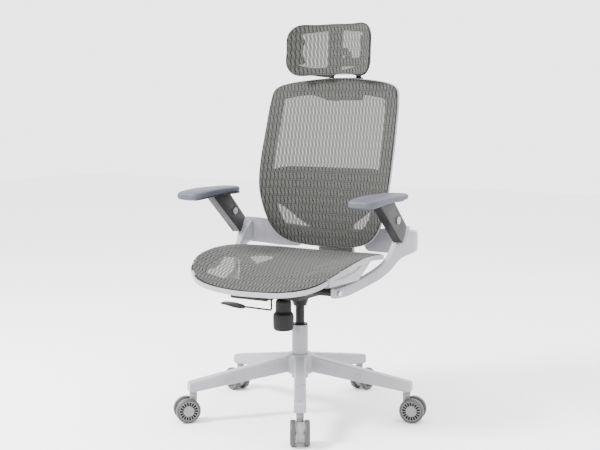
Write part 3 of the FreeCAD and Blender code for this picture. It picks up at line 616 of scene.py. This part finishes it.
knobMesh = meshOf("knob", lambda w: lathe(w, rounded(knob["profile"], knob["round"]), place(0, knob["at"], 0),
                                          upright, knob["ribs"] * 4, knobRibs))
newPiece("tensionKnobGrip", knobMesh, "tension_adjuster", blackNylon, ["tension_knob"])


def tube(work, points, radius, bend):  # round rod with real bends
    route = rounded([tuple(place(*p)) for p in points], bend / 1000, 8)
    rows = []
    side = None
    for i, point in enumerate(route):
        ahead = Vector(route[min(i + 1, len(route) - 1)]) - Vector(route[max(i - 1, 0)])
        if ahead.length < 1e-7:
            continue
        ahead.normalize()
        side = ahead.orthogonal() if side is None else side - ahead * side.dot(ahead)
        side.normalize()
        up = ahead.cross(side)
        rows.append([Vector(point) + (side * math.cos(t) + up * math.sin(t)) * radius / 1000
                     for t in (2 * math.pi * q / 20 for q in range(20))])
    skin(work, rows, False, True)


levers = {"wire": 3, "gasBend": 6, "lockBend": 8, "pivot": (-48, -60, 411.5),
          "barrel": [(0, -14), (4.6, -14), (5, -13.6), (5, 13.6), (4.6, 14), (0, 14)],
          "gas": [(0, 0, 411.5), (-22, -40, 411.5), (-40, -60, 411.5), (-67, -60, 411.5), (-67, -60, 332),
                  (-190, -60, 334)],
          "lock": [(-34, -42, 390), (-65, -42, 390), (-73, -42, 361), (-120, -42, 361)]}


def buildGasLever(work):  # bent wire pushed through its pivot barrel
    tube(work, levers["gas"], levers["wire"], levers["gasBend"])
    lathe(work, levers["barrel"], place(*levers["pivot"]), (0, 1, 0), 32)


newPiece("gasLeverWire", meshOf("gasLever", buildGasLever), "gas_lever", blackSteel,
         ["gas_lever_rod"])
lockMesh = meshOf("tiltLock", lambda w: tube(w, levers["lock"], levers["wire"], levers["lockBend"]))
newPiece("tiltLockWire", lockMesh, "tilt_lock", blackSteel, ["tilt_lock_rod"])
softened("gas_lever_paddle", "gasLeverPaddle", blackNylon, 0.6, 2)
softened("tilt_lock_grip", "tiltLockGrip", blackNylon, 1.2)
print("mechanism ready")

# seat: moulded rim, tray and side panels under a stretched mesh
seat = {"half": [(0, -303), (90, -299), (170, -283), (228, -250), (258, -195), (266, -120), (262, -30),
                 (254, 50), (232, 112), (180, 144), (90, 152), (0, 153)],
        "front": -300, "rear": 150, "panelFront": -190, "panelReach": 225,
        "rim": 12, "frontRim": -288, "trayReach": 92, "meshInset": 4, "meshDrop": 1.6,
        "meshFlat": (0.55, 0.49, 0.211)}  # width, length, area of the cut in metres
seatShell = softened("seat_frame", "seatShell", whiteNylon, 1.6, 3)
seatOutline = wholeOutline(seat["half"], 160)


def seatReach(y):  # half width of the rim at y
    return max([abs(p[0]) for p in seatOutline if abs(p[1] - y) < 8] + [0])


for corner in seatShell.data.vertices:  # the side panels' front ends are drawn in under the rim
    spot = corner.co * 1000
    if spot.y < seat["panelFront"] and abs(spot.x) > seatReach(spot.y) > seat["panelReach"]:
        corner.co.x = math.copysign(seatReach(spot.y), spot.x) / 1000
seatShell.data.materials.append(meshShadePaintedNylon)  # the ring and tray under the cloth are charcoal nylon, darkened by painted shade from the mesh above them
# faces inside the rim that face the cloth, or lie in the middle tray, take that charcoal with the painted
# shade; the rim and side panels stay white
for face in seatShell.data.polygons:
    spot = face.center * 1000
    rimReach = seatReach(spot.y) if seat["front"] < spot.y < seat["rear"] else 0
    facesCloth = face.normal.z > 0.3 or abs(spot.x) < seat["trayReach"]
    if abs(spot.x) < rimReach - seat["rim"] and spot.y > seat["frontRim"] and facesCloth:
        face.material_index = 1
seatClothMesh = meshOf("seatCloth", lambda w: grid(w, inwards(seatOutline, lambda x, y: seat["meshInset"]),
                                                   seatAt, seat["meshDrop"]))
seatCloth = newPiece("seatMeshCloth", seatClothMesh, "lift", meshLevel, ["seat_mesh"])

# back: white frame, dark carrier ring and stretched mesh
back = {"half": [(0, 509), (85, 512), (150, 528), (193, 565), (220, 625), (237, 700), (241, 790), (238, 900),
                 (234, 970), (222, 1015), (175, 1034), (85, 1045), (0, 1049)],
        "rim": 48, "head": 62, "headFrom": 1000, "dip": 12, "dipReach": 110,
        "frame": (4, 4.2, 17, 5), "carrier": (2, -0.2, 4, 1.5),  # inset, near and far depth, corner radius
        "meshInset": 3, "meshProud": -1.6, "meshFlat": (0.51, 0.55, 0.229)}
backOutline = wholeOutline(back["half"], 200)


def rimWidth(x, z):  # the rim deepens at the head, most in the middle
    if z > back["headFrom"]:
        return back["head"] + back["dip"] * math.cos(min(math.pi, abs(x) / back["dipReach"] * math.pi))
    return back["rim"]


def buildBackRing(work, outline, inset, near, far, radius):
    ring(work, outline, lambda x, z: rimWidth(x, z) - inset, backAt, near, far, radius)


backFrameMesh = meshOf("backFrame", lambda w: buildBackRing(w, backOutline, *back["frame"]))
newPiece("backFrameMoulding", backFrameMesh, "back", whiteNylon, ["back_frame"])
carrierOutline = inwards(backOutline, lambda x, z: back["carrier"][0])
carrierMesh = meshOf("carrierRing", lambda w: buildBackRing(w, carrierOutline, *back["carrier"]))
# the carrier ring takes the charcoal nylon with the mesh's shade painted in
newPiece("meshCarrierRing", carrierMesh, "back", meshShadePaintedNylon, ["mesh_carrier"])
backClothMesh = meshOf("backCloth", lambda w: grid(w, inwards(backOutline, lambda x, z: back["meshInset"]),
                                                   backAt, back["meshProud"]))
backCloth = newPiece("backMeshCloth", backClothMesh, "back", meshUpright, ["back_mesh"])
# the lumbar panel behind the mesh takes the same charcoal nylon with painted shade
softened("lumbar_panel", "lumbarSupport", meshShadePaintedNylon, 1.5)
softened("back_carrier", "backCarrierMoulding", whiteNylon, 2.5)
softened("back_yoke", "backYokeMoulding", greyNylon, 2.5)
print("seat and back ready")

# headrest
head = {"half": [(0, 1056), (80, 1056), (128, 1059), (147, 1080), (151, 1135), (147, 1190), (126, 1213),
                 (80, 1218), (0, 1219)], "meshInset": 2, "meshProud": -1.6, "meshFlat": (0.32, 0.17, 0.0463)}
headOutline = wholeOutline(head["half"], 120)
# the headrest frame takes the charcoal nylon with the mesh's shade painted in
softened("headrest_frame", "headrestShell", meshShadePaintedNylon, 1.5)
headClothMesh = meshOf("headCloth", lambda w: grid(w, inwards(headOutline, lambda x, z: head["meshInset"]),
                                                   headAt, head["meshProud"], 40, 48))
headCloth = newPiece("headMeshCloth", headClothMesh, "headrest", meshUpright, ["headrest_mesh"])
softened("headrest_stem", "headrestPosts", blackSteel, 1.0)
softened("headrest_guide", "headrestBracket", blackNylon, 2.0)

# armrests: moulded sleeves and soft pads
arm = {"centre": 295, "padShift": 8, "fullness": 3.6, "fill": 0.9,
       "stations": [(-180, 682, 22, 6), (-176, 682, 33, 10), (-164, 682.8, 42, 12.8),
                    (-140, 685.4, 46.5, 13.6), (-80, 690.6, 47, 12.4), (10, 692, 43, 11.2),
                    (56, 692.6, 37, 10.2), (70, 693, 30, 8.4), (75, 693, 22, 6)],  # y, z, half across, half up
       "lip": [(34, 592), (83, 550.2), (87, 555.5), (38, 598)], "lipReach": 14.7}


def addLip(mesh, middle):  # front wall carried down to the sleeve's lower end
    work = bmesh.new()
    work.from_mesh(mesh)
    skin(work, [[place(middle + reach, y, z) for y, z in arm["lip"]]
                for reach in (-arm["lipReach"], arm["lipReach"])], False, True)
    work.to_mesh(mesh)
    work.free()


for sign, name in ((1, "left"), (-1, "right")):
    ending = name.capitalize()
    sleeve = softened("arm_sleeve_" + name, "armSleeve" + ending, charcoalNylon, 3.5, 4)
    addLip(sleeve.data, sign * arm["centre"])
    softened("arm_pad_plate_" + name, "armPadPlate" + ending, charcoalNylon, 0.8, 2)
    middle = sign * (arm["centre"] + arm["padShift"])
    rows = [(middle, y, z, wide, tall) for y, z, wide, tall in arm["stations"]]
    pad = newPiece("armPad" + ending, meshOf("pad", lambda w: loft(w, rows, arm["fullness"])), name + "_arm",
                   skinFoam, ["arm_pad_" + name])
softened("arm_pivot_pins", "armPivotCaps", whiteSteel, 0.8)
print("headrest and armrests ready")

# inner steel pieces keep their shape and get their finish
plated = ["thrust_bearing", "piston_rod", "retaining_clip", "release_pin", "caster_stems", "tension_screw",
          "tension_spring", "tilt_pins", "seat_bolts", "back_bolts"]
plated += ["caster_axle_%d" % k for k in range(1, starBase["legs"] + 1)]
for node in plated + ["seat_plate"]:
    mesh = frame["nodes"][node].data
    mesh.materials.clear()
    mesh.materials.append(blackSteel if node == "seat_plate" else zincSteel)
print("inner pieces ready")
